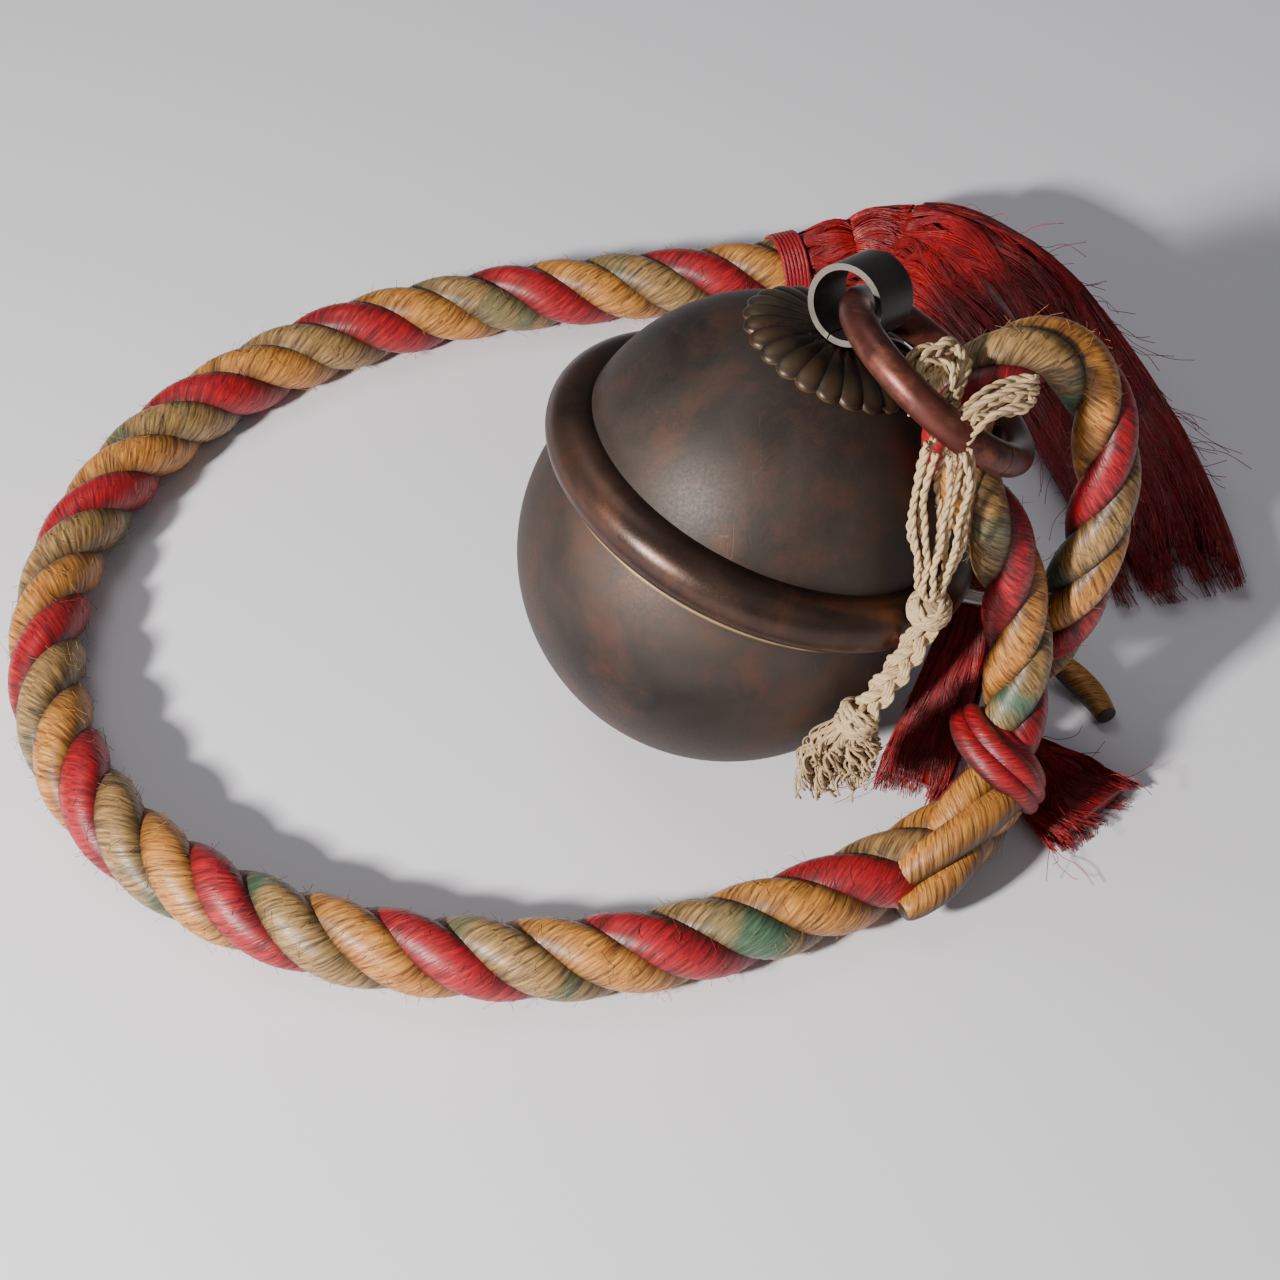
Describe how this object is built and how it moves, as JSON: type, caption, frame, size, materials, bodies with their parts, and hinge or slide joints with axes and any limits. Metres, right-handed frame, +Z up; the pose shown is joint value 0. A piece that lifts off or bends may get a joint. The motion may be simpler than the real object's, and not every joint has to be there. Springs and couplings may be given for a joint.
{
  "type": "shrine bell",
  "caption": "Round metal slit bell with a moulded waist band, rolled hanging eye and carrying ring, on a spliced three-strand rope with hemp lashing and fibre tassels.",
  "frame": {"origin": "the point of the lower shell that touches the ground as the bell leans beside its rope", "axes": "+Z up, +X towards the side the bell leans and its carrying ring falls, +Y towards the back of the laid rope"},
  "size_m": [0.5338, 0.4696, 0.2221],
  "materials": {
    "dark_bronze": "dark brown patina over copper alloy, satin",
    "ring_copper": "red-brown oxidised copper rod",
    "iron": "dark forged iron",
    "rope_gold": "combed fibre strand, gold",
    "rope_red": "combed fibre strand, red",
    "tassel_red": "loose dyed fibre, red",
    "hemp": "natural hemp cord"
  },
  "bodies": {
    "bell": {"lower_shell": "dark_bronze", "upper_shell": "dark_bronze", "waist_band": "dark_bronze", "crown_rosette": "dark_bronze", "hanging_eye": "dark_bronze", "inner_washer": "dark_bronze", "rope_main": "rope_gold", "rope_eye": "rope_gold", "splice_red_strand": "rope_red", "splice_gold_strand": "rope_gold", "splice_gold_tail": "rope_gold", "tassel_binding": "hemp", "rope_tassel_head": "tassel_red", "rope_tassel_skirt": "tassel_red", "small_tassel_head": "tassel_red", "small_tassel_thread": "hemp", "small_tassel_skirt": "tassel_red", "small_tassel_spread": "tassel_red", "hemp_hanging_cords": "hemp", "hemp_upper_knot": "hemp", "hemp_braid": "hemp", "hemp_lower_knot": "hemp", "hemp_frayed_end": "hemp"},
    "ring": {"hanging_ring": "ring_copper", "hemp_ring_hitch": "hemp", "hemp_lobes": "hemp"},
    "pellet": {"pellet": "iron"}
  },
  "joints": [
    {"name": "ring_swing", "type": "hinge", "parent": "bell", "child": "ring", "pos_m": [0.04766, 0.01475, 0.2031], "axis": [-0.5655, -0.7589, 0.323], "range_deg": [0, 50], "deforming": ["rope_eye", "hemp_hanging_cords"]},
    {"name": "pellet_roll", "type": "hinge", "parent": "bell", "child": "pellet", "pos_m": [0, 0, 0.085], "axis": [-0.2957, 0.9553, 0], "range_deg": [-35, 35]}
  ]
}
